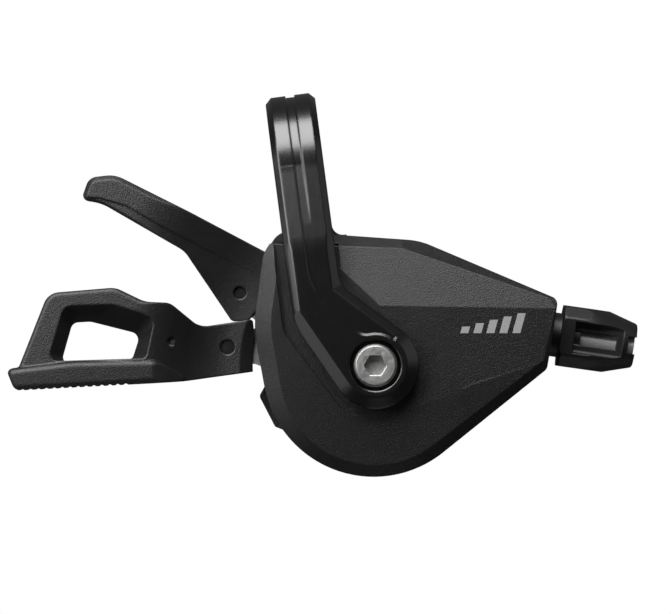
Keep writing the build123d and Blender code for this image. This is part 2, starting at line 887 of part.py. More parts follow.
# Thumb lever: a cranked moulding with a through hole, a plate in its root and a serrated pad
main_outline = outline(
    [
        (1.7 - lever_reach, -4.95, 1.8),
        (-lever_reach, -0.7, 0.9),
        (2.4 - lever_reach, -0.3, 0.8),
        (-65.0, 14.4, 3.4),
        (-51.8, 15.5, 4),
        (-46.0, 12.7, 6),
        (-41.0, 12.5, 3),
        (-35.2, 7.6, 4),
        (-24.6, 9.2, 0.6),
        (-23.4, -1.2, 0.6),
        (-38.0, -3.2, 30),
    ]
)
hole_back = outline(
    [(-62.7, 0.35, 1.2), (-60.4, 8.5, 1.6), (-56.8, 8.7, 3), (-46.9, 6.2, 1.6), (-48.5, 1.2, 1.2)]
)
hole_front = outline(
    [(-65.0, 0.9, 1.4), (-61.8, 11.9, 2.2), (-52.0, 12.2, 4), (-43.4, 9.6, 1.6), (-45.2, 1.5, 1.2)]
)
pad_outline = outline(
    [
        (1.7 - lever_reach, -4.95, 1.8),
        (-lever_reach, -0.7, 0.9),
        (-60.0, 0.9, 20),
        (-44.0, 1.2, 3),
        (-36.6, -3.1, 0.6),
    ]
)

lever_top = main_face + pad_rise
space_reach = 2 * lever_reach


def behind_ramp(start_radius, start_depth, end_radius, end_depth):
    """The space behind a lever: level at its root, then up a ramp and level beyond it."""
    with BuildPart() as space:
        with BuildSketch(side_plane(180)):
            with BuildLine():
                Polyline(
                    (start_radius, case_back),
                    (start_radius, start_depth),
                    (end_radius, end_depth),
                    (space_reach, end_depth),
                    (space_reach, case_back),
                    close=True,
                )
            make_face()
        revolve(axis=axle_axis)
    return space.part


def before_ramp(root_depth, start_radius, end_radius, end_depth, bend):
    """The space before a lever: level at its root, then up a ramp that starts and ends in a bend."""
    slope = atan((end_depth - root_depth) / (end_radius - start_radius))
    level_end = end_radius + bend * tan(slope / 2) + ramp_spare
    with BuildPart() as space:
        with BuildSketch(side_plane(180)):
            with BuildLine():
                FilletPolyline(
                    (0, root_depth),
                    (start_radius, root_depth),
                    (end_radius, end_depth),
                    (level_end, end_depth),
                    radius=bend,
                )
                Polyline(
                    (level_end, end_depth),
                    (level_end, 2 * lever_top),
                    (0, 2 * lever_top),
                    (0, root_depth),
                )
            make_face()
        revolve(axis=axle_axis)
    return space.part


main_ramp_start = crank_radius + main_ramp_lead
main_ramp_end = crank_radius + crank_run
rivet_place = (-29.6, 3.6)
dimple_place = (-40.6, 4.7)
main_arm = outline(
    [(-3, 8, 0.5), (-24, 7.4, 4), (-31, 6.8, 1), (-31, 0.6, 1), (-24, 0.2, 4), (-3, -8, 0.5)]
)
with BuildPart() as main_lever_plate:
    with BuildSketch(at(main_plate_depth)):
        with Locations(polar(pawl_pivot_radius, feed_pawl_angle)):
            Circle(pawl_head_radius)
        Circle(bush_outer)
        make_hull()
        Circle(hub_radius)
        add(main_arm)
        Circle(bush_outer, mode=Mode.SUBTRACT)
        with Locations(polar(pawl_pivot_radius, feed_pawl_angle)):
            Circle(pin_radius, mode=Mode.SUBTRACT)
        with Locations(rivet_place):
            Circle(rivet_radius, mode=Mode.SUBTRACT)
    extrude(amount=main_plate_thickness)
main_lever_plate.part.label = "main_lever_plate"
export_step(main_lever_plate.part, "parts/main_lever_plate.step")

with BuildPart() as thumb_pad:
    with BuildSketch(at(main_back)):
        add(pad_outline)
    extrude(amount=lever_top - main_back)
    crest_side = pad_crest - lever_reach
    crest_start = (crest_side, crank_radius, lever_top)
    crest_end = (crest_side, -crank_radius, lever_top)
    add(falling_cutter(crest_start, crest_end, pad_fall), mode=Mode.SUBTRACT)
    fillet(thumb_pad.faces().sort_by(axle_axis)[-1].edges(), pad_round)
    add(
        before_ramp(
            main_root_face + pad_lip, main_ramp_start, main_ramp_end, main_face + pad_lip, crank_round
        ),
        mode=Mode.SUBTRACT,
    )

with BuildPart() as main_lever:
    with BuildSketch(at(main_root_depth)):
        add(main_outline)
    extrude(amount=main_face - main_root_depth)
    fillet(main_lever.faces().sort_by(axle_axis)[-1].edges(), lever_round)
    add(
        before_ramp(main_root_face, main_ramp_start, main_ramp_end, main_face, crank_round),
        mode=Mode.SUBTRACT,
    )
    add(
        before_ramp(
            main_root_end,
            lever_root_radius,
            lever_root_radius + main_end_run,
            main_root_face + loose,
            lever_round,
        ),
        mode=Mode.SUBTRACT,
    )
    add(thumb_pad.part)
    with BuildSketch(at(main_back)):
        for tooth in range(serration_count):
            tooth_u = serration_start - lever_reach + serration_pitch * tooth
            with Locations((tooth_u, serration_side + serration_rise * tooth)):
                Circle(2 * serration_depth)
    extrude(amount=lever_top, mode=Mode.SUBTRACT)
    with BuildSketch(at(main_back)):
        add(hole_back)
    with BuildSketch(at(main_face)):
        add(hole_front)
    loft(mode=Mode.SUBTRACT)
    add(
        behind_ramp(crank_radius, main_root_depth, crank_radius + crank_run, main_back),
        mode=Mode.SUBTRACT,
    )
    with BuildSketch(at(0)):
        Circle(lever_root_radius)
    extrude(amount=lever_top, mode=Mode.SUBTRACT)
    add(main_lever_plate.part, mode=Mode.SUBTRACT)
    with BuildSketch(at(main_root_depth)):
        with Locations(rivet_place):
            Circle(rivet_radius)
    extrude(amount=main_face - main_root_depth, mode=Mode.SUBTRACT)
    with BuildSketch(at(main_face)):
        with Locations(dimple_place):
            Circle(dimple_radius)
    extrude(amount=-dimple_depth, mode=Mode.SUBTRACT)
main_lever.part.label = "main_lever"
export_step(main_lever.part, "parts/main_lever.step")


def rivet(name, place, radius, depth, face):
    """A rivet through a lever's root, set a little below its face."""
    with BuildPart() as stud:
        with BuildSketch(at(depth)):
            with Locations(place):
                Circle(radius)
        extrude(amount=face - depth - rivet_sink)
    stud.part.label = name
    export_step(stud.part, f"parts/{name}.step")


rivet("main_lever_rivet", rivet_place, rivet_radius, main_root_depth, main_root_face)

# Release lever: a cranked blade with a plate in its root
release_rivet_place = (-27.2, 14.5)
release_rivet_radius = 1.25
release_outline = outline(
    [
        (-58.8, 33.0, 1.2),
        (-57.2, 37.5, 2.4),
        (-52.0, 38.1, 6),
        (-37.0, 30.6, 30),
        (-20.5, 21.9, 1.2),
        (-20.5, 15.0, 1.2),
        (-25.4, 8.9, 1.2),
        (-28.8, 8.7, 1.2),
        (-38.2, 22.8, 5),
        (-54.8, 32.4, 10),
    ]
)
release_arm = outline(
    [(-2, 8.5, 0.5), (-20, 18.6, 2), (-26.6, 17.2, 1), (-29.2, 12.2, 1), (-25.4, 10, 2), (-6, -5, 0.5)]
)
with BuildPart() as release_lever_plate:
    with BuildSketch(at(release_plate_depth)):
        Circle(hub_radius)
        add(release_arm)
        Circle(bush_outer, mode=Mode.SUBTRACT)
        with Locations(release_rivet_place):
            Circle(release_rivet_radius, mode=Mode.SUBTRACT)
    extrude(amount=release_plate_thickness)
release_lever_plate.part.label = "release_lever_plate"
export_step(release_lever_plate.part, "parts/release_lever_plate.step")

# Below its crease the blade's face lies a little deeper
blade_ramp_start = crank_radius + 2 * loose
blade_ramp_end = crank_radius + blade_run
with BuildPart() as blade_web:
    add(
        before_ramp(
            release_root_face, blade_ramp_start, blade_ramp_end, release_face - blade_crease, blade_bend
        )
    )
    with BuildSketch(at(release_face - blade_crease)):
        Circle(space_reach)
        Circle(blade_ramp_end, mode=Mode.SUBTRACT)
    extrude(amount=2 * blade_crease)
    with BuildSketch(at(0)):
        with BuildLine():
            Polyline(
                (-16, 14.2),
                (-24.6, 18.5),
                (-43.2, 28.1),
                (-49.8, 31.9),
                (-55.1, 33.4),
                (-space_reach, 33.4),
                (-space_reach, -space_reach),
                (-16, -space_reach),
                close=True,
            )
        make_face()
    extrude(amount=2 * lever_top, mode=Mode.INTERSECT)

with BuildPart() as release_lever:
    with BuildSketch(at(release_root_depth)):
        add(release_outline)
    extrude(amount=release_face - release_root_depth)
    chamfer(release_lever.faces().sort_by(axle_axis)[-1].edges(), release_bevel)
    add(
        before_ramp(release_root_face, blade_ramp_start, blade_ramp_end, release_face, blade_bend),
        mode=Mode.SUBTRACT,
    )
    add(blade_web.part, mode=Mode.SUBTRACT)
    add(
        behind_ramp(
            crank_radius + blade_back_lead,
            release_root_depth,
            crank_radius + blade_back_lead + blade_back_run,
            release_back,
        ),
        mode=Mode.SUBTRACT,
    )
    with BuildSketch(at(0)):
        Circle(lever_root_radius)
    extrude(amount=lever_top, mode=Mode.SUBTRACT)
    add(release_lever_plate.part, mode=Mode.SUBTRACT)
    with BuildSketch(at(release_root_depth)):
        with Locations(release_rivet_place):
            Circle(release_rivet_radius)
    extrude(amount=release_face - release_root_depth, mode=Mode.SUBTRACT)
release_lever.part.label = "release_lever"
export_step(release_lever.part, "parts/release_lever.step")
rivet(
    "release_lever_rivet",
    release_rivet_place,
    release_rivet_radius,
    release_root_depth,
    release_root_face,
)

# Cable adjuster: a collar in the case, a barrel that turns on it and a threaded tube inside
adjuster_axis = Axis(adjuster_plane.origin, adjuster_plane.z_dir)
adjuster_side = Plane(
    origin=adjuster_plane.origin, x_dir=adjuster_plane.x_dir, z_dir=-adjuster_plane.y_dir
)
knob_end = knob_gap + knob_length
with BuildPart() as adjuster_collar:
    with BuildSketch(adjuster_plane.offset(-collar_reach)):
        Circle(collar_radius)
        Circle(tube_radius + running, mode=Mode.SUBTRACT)
    extrude(amount=collar_reach + knob_gap + knob_socket_depth)
adjuster_collar.part.label = "adjuster_collar"
export_step(adjuster_collar.part, "parts/adjuster_collar.step")

with BuildPart() as adjuster_knob:
    with BuildSketch(adjuster_side):
        with BuildLine():
            FilletPolyline(
                (0, knob_gap),
                (knob_radius, knob_gap),
                (knob_radius, knob_gap + knob_straight),
                (knob_tip_radius, knob_end),
                (0, knob_end),
                radius=[knob_edge_round, knob_bend, knob_edge_round],
            )
            Line((0, knob_end), (0, knob_gap))
        make_face()
    revolve(axis=adjuster_axis)
    with BuildSketch(adjuster_plane) as knob_square:
        Rectangle(knob_side, knob_side)
        chamfer(knob_square.vertices(), knob_corner)
    extrude(amount=2 * knob_length, mode=Mode.INTERSECT)
    with BuildSketch(adjuster_plane.offset(knob_gap)):
        Circle(collar_radius + running)
    extrude(amount=knob_socket_depth + loose, mode=Mode.SUBTRACT)
    with BuildSketch(adjuster_plane):
        Circle(tube_radius + running)
    extrude(amount=2 * knob_length, mode=Mode.SUBTRACT)
    for side in range(window_count):
        turned = adjuster_plane.rotated((0, 0, 360 / window_count * side))
        with BuildSketch(turned.offset(knob_gap + knob_length / 2 - window_length / 2)):
            with Locations((window_floor + knob_radius / 2, 0)):
                RectangleRounded(knob_radius, window_width, window_width / 8)
        extrude(amount=window_length, mode=Mode.SUBTRACT)
        with BuildSketch(turned.offset(knob_gap + knob_length / 2 - slit_length / 2)):
            with Locations((knob_radius / 2, 0)):
                Rectangle(knob_radius, slit_width)
        extrude(amount=slit_length, mode=Mode.SUBTRACT)
        with BuildSketch(turned.offset(knob_end - notch_length)):
            with Locations((knob_radius / 2, 0)):
                Rectangle(knob_radius, notch_width)
        extrude(amount=notch_length, mode=Mode.SUBTRACT)
adjuster_knob.part.label = "adjuster_knob"
export_step(adjuster_knob.part, "parts/adjuster_knob.step")

with BuildPart() as adjuster_bolt:
    with BuildSketch(adjuster_plane.offset(knob_end - loose)):
        Circle(tube_radius)
        Circle(liner_bore_radius, mode=Mode.SUBTRACT)
    extrude(amount=-tube_length)
    with BuildSketch(adjuster_plane.offset(knob_end - loose)):
        Circle(housing_bore_radius)
    extrude(amount=-housing_bore_depth, mode=Mode.SUBTRACT)
adjuster_bolt.part.label = "adjuster_bolt"
export_step(adjuster_bolt.part, "parts/adjuster_bolt.step")

# Screws of the case and of the band's foot, and the cap of the cable hole
with BuildPart() as cover_screws:
    with BuildSketch(at(case_back)):
        with Locations(*screw_places):
            Circle(screw_head_radius)
    extrude(amount=screw_head_height)
    with BuildSketch(at(case_back)):
        with Locations(*screw_places):
            Circle(screw_radius)
    extrude(amount=screw_tip_depth - case_back)
    with BuildSketch(at(case_back)):
        with Locations(*screw_places):
            RegularPolygon(screw_radius, 6)
    extrude(amount=screw_head_height / 2, mode=Mode.SUBTRACT)
cover_screws.part.label = "cover_screws"
export_step(cover_screws.part, "parts/cover_screws.step")

with BuildPart() as band_screw:
    with BuildSketch(Plane.XZ.offset(-band_radius)):
        with Locations((0, band_screw_height)):
            Circle(screw_radius)
    extrude(amount=band_screw_length)
    with BuildSketch(Plane.XZ.offset(-band_radius)):
        with Locations((0, band_screw_height)):
            Circle(screw_head_radius)
    extrude(amount=-screw_head_height)
    with BuildSketch(Plane.XZ.offset(-band_radius - screw_head_height)):
        with Locations((0, band_screw_height)):
            RegularPolygon(screw_radius, 6)
    extrude(amount=screw_head_height / 2, mode=Mode.SUBTRACT)
band_screw.part.label = "band_screw"
export_step(band_screw.part, "parts/band_screw.step")

with BuildPart() as cable_plug:
    with BuildSketch(at(base_bottom)):
        with Locations(plug_place):
            Circle(plug_radius)
    extrude(amount=case_back - base_bottom)
    with BuildSketch(at(case_back)):
        with Locations(plug_place):
            Circle(plug_head_radius)
    extrude(amount=-plug_head_height)
    with BuildSketch(at(case_back - plug_head_height)):
        with Locations(plug_place):
            Rectangle(plug_head_radius, screw_radius)
    extrude(amount=plug_head_height, mode=Mode.SUBTRACT)
cable_plug.part.label = "cable_plug"
export_step(cable_plug.part, "parts/cable_plug.step")
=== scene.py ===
import json
import math

import bpy
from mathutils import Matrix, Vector


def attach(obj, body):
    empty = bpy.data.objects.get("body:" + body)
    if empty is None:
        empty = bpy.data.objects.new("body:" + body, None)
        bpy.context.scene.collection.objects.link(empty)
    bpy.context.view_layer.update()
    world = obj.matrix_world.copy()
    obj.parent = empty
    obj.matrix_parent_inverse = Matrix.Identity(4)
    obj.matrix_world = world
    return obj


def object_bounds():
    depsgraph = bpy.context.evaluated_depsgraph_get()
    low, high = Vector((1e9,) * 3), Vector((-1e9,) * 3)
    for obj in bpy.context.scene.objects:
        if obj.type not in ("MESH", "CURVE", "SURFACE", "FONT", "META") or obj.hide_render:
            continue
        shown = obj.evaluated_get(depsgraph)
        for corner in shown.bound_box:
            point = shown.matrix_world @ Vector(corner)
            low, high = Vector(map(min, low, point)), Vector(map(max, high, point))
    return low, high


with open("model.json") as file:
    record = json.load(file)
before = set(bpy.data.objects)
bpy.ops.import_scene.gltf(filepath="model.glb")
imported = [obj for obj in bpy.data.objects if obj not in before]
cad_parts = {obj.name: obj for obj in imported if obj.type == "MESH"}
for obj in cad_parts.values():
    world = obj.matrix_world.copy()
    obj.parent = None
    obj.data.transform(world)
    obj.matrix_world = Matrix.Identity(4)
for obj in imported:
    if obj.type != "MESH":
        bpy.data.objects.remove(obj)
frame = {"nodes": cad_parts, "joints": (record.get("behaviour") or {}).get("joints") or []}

bl_info = {
    "name": "Trigger Shifter Dresser",
    "version": (1, 0, 0),
    "blender": (4, 5, 0),
    "location": "View3D > Sidebar > Shifter",
    "description": "Gives a trigger gear shifter its finishes, printed bars and studio",
    "category": "Object",
}

CAD_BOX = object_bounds()
MM = 0.001
WHITE = (1, 1, 1, 1)

# The case's own axes: the thumb lever's hinge is the axle, and the face looks along -Y
AXLE = Vector(next(j for j in frame["joints"] if j["name"] == "thumb_lever_swing")["pos_m"])
CASE_TILT = math.radians(7.5)
CASE_RIGHT = Vector((math.cos(CASE_TILT), 0, -math.sin(CASE_TILT)))
CASE_UP = Vector((math.sin(CASE_TILT), 0, math.cos(CASE_TILT)))
CASE_OUT = Vector((0, -1, 0))
FACE_DEPTH = 15

# Noise: where nearly all its values lie
NOISE_LOW = 0.3
NOISE_HIGH = 0.7

# Soft edges: the cosine between flat and rounded normal where the painted edge highlight and the
# smoother edge begin and are full
EDGE_SAMPLES = 8
EDGE_BEGINS = 0.995
EDGE_FULL = 0.9

# Moulded resin: shares of its colour and roughness, and grains in one slow change of sheen
GRAIN_DETAIL = 2
DRIFT_GRAINS = 40
DRIFT_DETAIL = 3
DRIFT_DARK = 0.8
DRIFT_LIGHT = 1.2
DRIFT_SMOOTH = 0.96
DRIFT_ROUGH = 1.04
# Painted highlight: how many times lighter the colour is along the edges; and how much smoother
# the edges are
EDGE_PAINTED_HIGHLIGHT = 1.8
EDGE_SMOOTHER = 0.1

# Metal: tool marks
STREAK_DETAIL = 4
STREAK_DARK = 0.72
STREAK_SMOOTHER = 0.05
STREAK_ROUGHER = 0.08

# How many times rounder, finer or flatter than the case's a finish is
LEVER_ROUNDER = 2
BAND_ROUNDER = 2
BAND_FINER = 2
BAND_FLATTER = 10
KNOB_FLATTER = 3
DRUM_FLATTER = 2
BAND_IOR = 1.75

# Printed ink: speckles to the metre, and the film's thickness over its corners' rounding
INK_SPECKLES = 9000
INK_DETAIL = 2
INK_DARK = 0.75
INK_LIGHT = 1.25
INK_SMOOTH = 0.4
INK_ROUGH = 0.55
INK_CORNER = 3
INK_CORNER_STEPS = 2

# Floor paper: fibres to the metre
PAPER_FIBRES = 400
PAPER_DETAIL = 2
PAPER_DARK = (0.86, 0.86, 0.86)
PAPER_LIGHT = (0.9, 0.9, 0.9)
PAPER_ROUGHNESS = 0.9

# Backdrop in reflections: its direction, the cosines where it begins and is full, its
# strength, and the dark room's share of the ambient light
BACKDROP_WAY = (0, 0.8, 0.6)
BACKDROP_BEGINS = 0.2
BACKDROP_FULL = 0.9
BACKDROP_STRENGTH = 0.12
ROOM_SHARE = 0.25

# Where the lights stand and look, in millimetres right, up and out of the axle
CASE_MIDDLE = (0, 5, FACE_DEPTH)
PADDLE_MIDDLE = (-55, 10, 18)
KEY_PLACE = (-80, 415, 290)
FILL_PLACE = (-130, 60, 120)
SIDE_PLACE = (-400, -80, 170)
EDGE_PLACE = (420, 160, 120)
KEY_SIZE = 0.42
FILL_SIZE = 0.12
SIDE_SIZE = 0.4
EDGE_SIZE = 0.3

# Camera: sensor in millimetres and nearest distance in metres
SENSOR_WIDTH = 36
NEAREST = 0.01


def on_case(u, v, depth):
    """A point in metres from millimetres right, up and out of the axle."""
    return AXLE + (CASE_RIGHT * u + CASE_UP * v + CASE_OUT * depth) * MM


# Materials


def new_material(name):
    """A node material, with its principled shader and its texture coordinates."""
    material = bpy.data.materials.new(name)
    material.use_nodes = True
    nodes = material.node_tree.nodes
    return material, nodes["Principled BSDF"], nodes.new("ShaderNodeTexCoord")


def link(material, source, target):
    """Joins two sockets of a material."""
    material.node_tree.links.new(source, target)


def tint(colour, share):
    """A colour made darker or lighter."""
    return [share * c for c in colour]


def add_noise(material, coords, scale, detail):
    """A noise on object coordinates."""
    noise = material.node_tree.nodes.new("ShaderNodeTexNoise")
    noise.inputs["Scale"].default_value = scale
    noise.inputs["Detail"].default_value = detail
    link(material, coords.outputs["Object"], noise.inputs["Vector"])
    return noise


def add_range(material, source, low, high, low_value, high_value):
    """Maps one stretch of values to another."""
    stretch = material.node_tree.nodes.new("ShaderNodeMapRange")
    stretch.inputs["From Min"].default_value = low
    stretch.inputs["From Max"].default_value = high
    stretch.inputs["To Min"].default_value = low_value
    stretch.inputs["To Max"].default_value = high_value
    link(material, source, stretch.inputs["Value"])
    return stretch


def add_soft_edge(material, radius):
    """A normal that rounds every sharp edge by a small radius."""
    edge = material.node_tree.nodes.new("ShaderNodeBevel")
    edge.samples = EDGE_SAMPLES
    edge.inputs["Radius"].default_value = radius
    return edge


def add_edge_mask(material, edge):
    """A mask that is 1 along the edges that a soft edge rounds."""
    nodes = material.node_tree.nodes
    surface = nodes.new("ShaderNodeNewGeometry")
    match = nodes.new("ShaderNodeVectorMath")
    match.operation = "DOT_PRODUCT"
    link(material, edge.outputs["Normal"], match.inputs[0])
    link(material, surface.outputs["Normal"], match.inputs[1])
    return add_range(material, match.outputs["Value"], EDGE_BEGINS, EDGE_FULL, 0, 1)


def add_bump(material, shader, height, distance, edge):
    """Bumps a shader's normal by a height, over a soft edge."""
    bump = material.node_tree.nodes.new("ShaderNodeBump")
    bump.inputs["Distance"].default_value = distance
    link(material, height, bump.inputs["Height"])
    link(material, edge.outputs["Normal"], bump.inputs["Normal"])
    link(material, bump.outputs["Normal"], shader.inputs["Normal"])


def add_colour_mix(material, factor, first, second):
    """Mixes two colours by a factor."""
    mix = material.node_tree.nodes.new("ShaderNodeMix")
    mix.data_type = "RGBA"
    mix.inputs["A"].default_value = (*first, 1)
    mix.inputs["B"].default_value = (*second, 1)
    link(material, factor, mix.inputs["Factor"])
    return mix


def moulded_plastic(name, colour, roughness, grain_size, grain_height, edge_radius):
    """Moulded resin: spark-eroded grain, slow changes of sheen, edges made smoother and a painted
    highlight that lightens the colour along the edges.
    """
    material, shader, coords = new_material(name)
    grain = add_noise(material, coords, 1 / grain_size, GRAIN_DETAIL)
    drift = add_noise(material, coords, 1 / (DRIFT_GRAINS * grain_size), DRIFT_DETAIL)
    edge = add_soft_edge(material, edge_radius)
    highlight_and_polish_edges = add_edge_mask(material, edge)
    shade = add_colour_mix(
        material, drift.outputs["Fac"], tint(colour, DRIFT_DARK), tint(colour, DRIFT_LIGHT)
    )
    # Painted highlight: the colour made lighter along every edge
    painted_edge_highlight = add_colour_mix(
        material, highlight_and_polish_edges.outputs["Result"], colour, tint(colour, EDGE_PAINTED_HIGHLIGHT)
    )
    link(material, shade.outputs["Result"], painted_edge_highlight.inputs["A"])
    link(material, painted_edge_highlight.outputs["Result"], shader.inputs["Base Color"])
    sheen = add_range(
        material,
        drift.outputs["Fac"],
        NOISE_LOW,
        NOISE_HIGH,
        DRIFT_SMOOTH * roughness,
        DRIFT_ROUGH * roughness,
    )
    polish = add_range(
        material, highlight_and_polish_edges.outputs["Result"], 0, 1, roughness, roughness - EDGE_SMOOTHER
    )
    link(material, sheen.outputs["Result"], polish.inputs["To Min"])
    link(material, polish.outputs["Result"], shader.inputs["Roughness"])
    add_bump(material, shader, grain.outputs["Fac"], grain_height, edge)
    return material


def metal(name, colour, roughness, streak_size, streak_height, edge_radius):
    """Bare or plated metal with fine tool marks and soft edges."""
    material, shader, coords = new_material(name)
    shader.inputs["Metallic"].default_value = 1
    streaks = add_noise(material, coords, 1 / streak_size, STREAK_DETAIL)
    edge = add_soft_edge(material, edge_radius)
    shade = add_colour_mix(material, streaks.outputs["Fac"], tint(colour, STREAK_DARK), colour)
    link(material, shade.outputs["Result"], shader.inputs["Base Color"])
    sheen = add_range(
        material,
        streaks.outputs["Fac"],
        NOISE_LOW,
        NOISE_HIGH,
        roughness - STREAK_SMOOTHER,
        roughness + STREAK_ROUGHER,
    )
    link(material, sheen.outputs["Result"], shader.inputs["Roughness"])
    add_bump(material, shader, streaks.outputs["Fac"], streak_height, edge)
    return material


def dress(material, *names):
    """Gives CAD nodes a finish."""
    for name in names:
        mesh = frame["nodes"][name].data
        mesh.materials.clear()
        mesh.materials.append(material)


# Settings


def colour_setting(name, description, default):
    """A colour that a user may change."""
    return bpy.props.FloatVectorProperty(
        name=name, description=description, subtype="COLOR", size=3, min=0, max=1, default=default
    )


def length_setting(name, description, default):
    """A length in metres that a user may change."""
    return bpy.props.FloatProperty(
        name=name, description=description, unit="LENGTH", default=default
    )


def factor_setting(name, description, default):
    """A share between 0 and 1 that a user may change."""
    return bpy.props.FloatProperty(
        name=name, description=description, subtype="FACTOR", min=0, max=1, default=default
    )


def power_setting(name, description, default):
    """A lamp's power in watts that a user may change."""
    return bpy.props.FloatProperty(name=name, description=description, min=0, default=default)


def spot_setting(name, description, default):
    """A place right and up of the axle, in millimetres, that a user may change."""
    return bpy.props.FloatVectorProperty(
        name=name, description=description, size=2, default=default
    )


class ShifterFinishSettings(bpy.types.PropertyGroup):
    """Colours and sheens of the shifter's finishes."""

    case_colour: colour_setting("Case", "Colour of the moulded case", (0.005, 0.005, 0.0052))
    case_roughness: factor_setting("Case roughness", "Sheen of the case", 0.39)
    lever_colour: colour_setting("Levers", "Colour of both levers", (0.007, 0.007, 0.0072))
    lever_roughness: factor_setting("Lever roughness", "Sheen of the levers", 0.4)
    band_colour: colour_setting("Band", "Colour of the clamp band", (0.002, 0.002, 0.0021))
    band_roughness: factor_setting("Band roughness", "Sheen of the band", 0.25)
    knob_colour: colour_setting("Knob", "Colour of the adjuster", (0.006, 0.006, 0.0062))
    knob_roughness: factor_setting("Knob roughness", "Sheen of the adjuster", 0.42)
    grain_size: length_setting("Grain size", "Size of the moulded grain", 0.0002)
    grain_height: length_setting("Grain height", "Height of the moulded grain", 0.00009)
    edge_radius: length_setting("Edge radius", "Rounding of the moulded edges", 0.0003)


class ShifterBarsSettings(bpy.types.PropertyGroup):
    """The printed bars on the case's face."""

    count: bpy.props.IntProperty(name="Count", description="Number of bars", min=1, default=5)
    place: spot_setting("Place", "Millimetres right and up of the axle", (17.0, 6.4))
    width: length_setting("Width", "Width of a bar", 0.0016)
    pitch: length_setting("Pitch", "From one bar to the next", 0.0026)
    height: length_setting("Height", "Height of the tallest bar", 0.004)
    lean: length_setting("Lean", "How far the tallest bar leans over", 0.0011)
    film: length_setting("Film", "Thickness of the print", 0.00004)
    colour: colour_setting("Ink", "Colour of the print", (0.26, 0.26, 0.265))


class ShifterStageSettings(bpy.types.PropertyGroup):
    """Camera, floor and light of the studio."""

    camera_distance: length_setting("Camera distance", "From the case's face to the camera", 0.9)
    view_width: length_setting("View width", "Width of the view at the case's face", 0.1342)
    view_centre: spot_setting(
        "View centre",
        "Millimetres right and up of the axle at the middle of the view",
        (-7.96, 11.64),
    )
    floor_drop: length_setting("Floor drop", "From the shifter's lowest point to the floor", 0.6)
    floor_size: length_setting("Floor size", "Side of the floor", 0.36)
    floor_glow: factor_setting("Floor glow", "What the camera sees added to the floor", 0.62)
    key_power: power_setting("Key power", "Top light in watts", 4.2)
    fill_power: power_setting("Fill power", "Left light in watts", 0.2)
    side_power: power_setting("Side power", "Low light far on the left in watts", 0.4)
    edge_power: power_setting("Edge power", "Right light in watts", 0.1)
    ambient: factor_setting("Ambient", "Light from all round", 0.15)


# Operators


class SHIFTER_OT_case_finish(bpy.types.Operator):
    """Give the case and its cable plug their black resin"""

    bl_idname = "shifter.case_finish"
    bl_label = "Case Finish"

    def execute(self, context):
        look = context.scene.shifter_finish
        resin = moulded_plastic(
            "case_resin",
            look.case_colour,
            look.case_roughness,
            look.grain_size,
            look.grain_height,
            look.edge_radius,
        )
        dress(resin, "front_cover", "rear_housing", "cable_plug")
        return {"FINISHED"}


class SHIFTER_OT_lever_finish(bpy.types.Operator):
    """Give both levers their grained resin"""

    bl_idname = "shifter.lever_finish"
    bl_label = "Lever Finish"

    def execute(self, context):
        look = context.scene.shifter_finish
        resin = moulded_plastic(
            "lever_resin",
            look.lever_colour,
            look.lever_roughness,
            look.grain_size,
            look.grain_height,
            LEVER_ROUNDER * look.edge_radius,
        )
        dress(resin, "main_lever", "release_lever")
        return {"FINISHED"}


class SHIFTER_OT_clamp_finish(bpy.types.Operator):
    """Give the clamp band its black anodised skin"""

    bl_idname = "shifter.clamp_finish"
    bl_label = "Clamp Finish"

    def execute(self, context):
        look = context.scene.shifter_finish
        anodised = moulded_plastic(
            "band_anodised",
            look.band_colour,
            look.band_roughness,
            look.grain_size / BAND_FINER,
            look.grain_height / BAND_FLATTER,
            BAND_ROUNDER * look.edge_radius,
        )
        shader = anodised.node_tree.nodes["Principled BSDF"]
        shader.inputs["IOR"].default_value = BAND_IOR
        dress(anodised, "clamp_band")
        return {"FINISHED"}


class SHIFTER_OT_adjuster_finish(bpy.types.Operator):
    """Give the cable adjuster its knob, collar and tube finishes"""

    bl_idname = "shifter.adjuster_finish"
    bl_label = "Adjuster Finish"

    def execute(self, context):
        look = context.scene.shifter_finish
        resin = moulded_plastic(
            "knob_resin",
            look.knob_colour,
            look.knob_roughness,
            look.grain_size,
            look.grain_height / KNOB_FLATTER,
            look.edge_radius,
        )
        dress(resin, "adjuster_knob", "adjuster_collar")
        aluminium = metal(
            "tube_aluminium",
            colour=(0.9, 0.9, 0.91),
            roughness=0.6,
            streak_size=0.0004,
            streak_height=0.00003,
            edge_radius=0.0001,
        )
        dress(aluminium, "adjuster_bolt")
        return {"FINISHED"}


